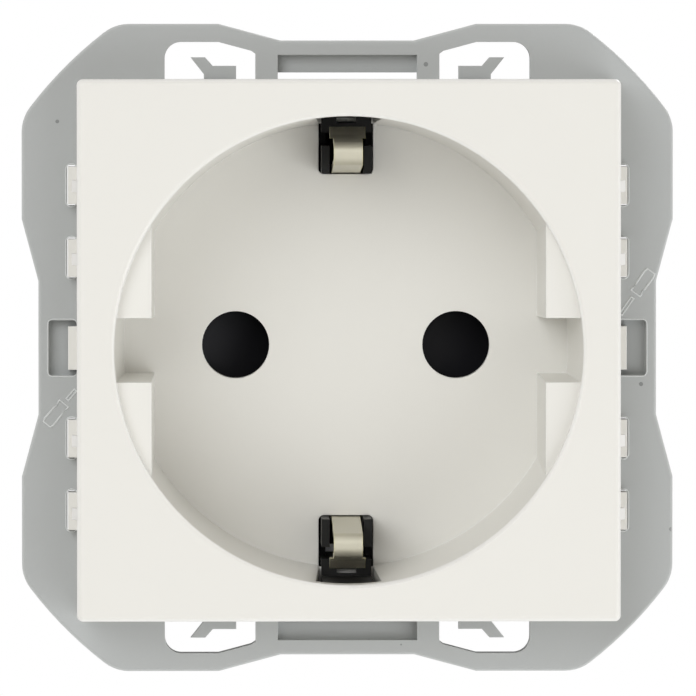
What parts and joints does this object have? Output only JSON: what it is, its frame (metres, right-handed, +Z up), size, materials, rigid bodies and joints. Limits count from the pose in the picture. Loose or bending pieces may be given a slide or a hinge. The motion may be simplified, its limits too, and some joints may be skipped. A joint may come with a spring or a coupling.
{
  "type": "wall socket",
  "caption": "Flush wall socket with a round recessed plug well, side earth clips, child safety shutter and a square mounting frame.",
  "frame": {"origin": "middle of the mounting frame's back face, which lies on the wall", "axes": "+X right, +Y back into the wall, +Z up, seen from the room"},
  "size_m": [0.0556, 0.0421, 0.0554],
  "materials": {
    "white_gloss": "satin white thermoplastic",
    "grey_plastic": "fine matt light grey",
    "black_plastic": "matt black",
    "dark_grey_plastic": "matt dark grey",
    "plated_brass": "nickel-plated brass with bare cut edges",
    "bare_brass": "bright rolled brass",
    "spring_steel": "bright spring steel",
    "zinc_plated_steel": "zinc-plated steel"
  },
  "bodies": {
    "root": {"front_cover": "white_gloss", "mounting_frame": "grey_plastic", "socket_base": "black_plastic", "rear_cover": "black_plastic", "shutter_retainer": "black_plastic", "earth_bow": "plated_brass", "live_contact": "bare_brass", "neutral_contact": "bare_brass", "live_contact_clip": "spring_steel", "neutral_contact_clip": "spring_steel", "shutter_spring": "spring_steel", "live_clamp_plate": "zinc_plated_steel", "neutral_clamp_plate": "zinc_plated_steel", "earth_clamp_plate": "zinc_plated_steel", "live_terminal_screw": "zinc_plated_steel", "neutral_terminal_screw": "zinc_plated_steel", "earth_terminal_screw": "zinc_plated_steel", "assembly_screw_upper_right": "zinc_plated_steel", "assembly_screw_lower_left": "zinc_plated_steel"},
    "shutter_slider": {"shutter": "dark_grey_plastic"}
  },
  "joints": [
    {"name": "shutter_slide", "type": "slide", "parent": "root", "child": "shutter_slider", "axis": [-1, 0, 0], "range_m": [0, 0.0062], "stiffness_N_per_m": 100, "springref_m": -0.003, "deforming": ["shutter_spring"]}
  ]
}
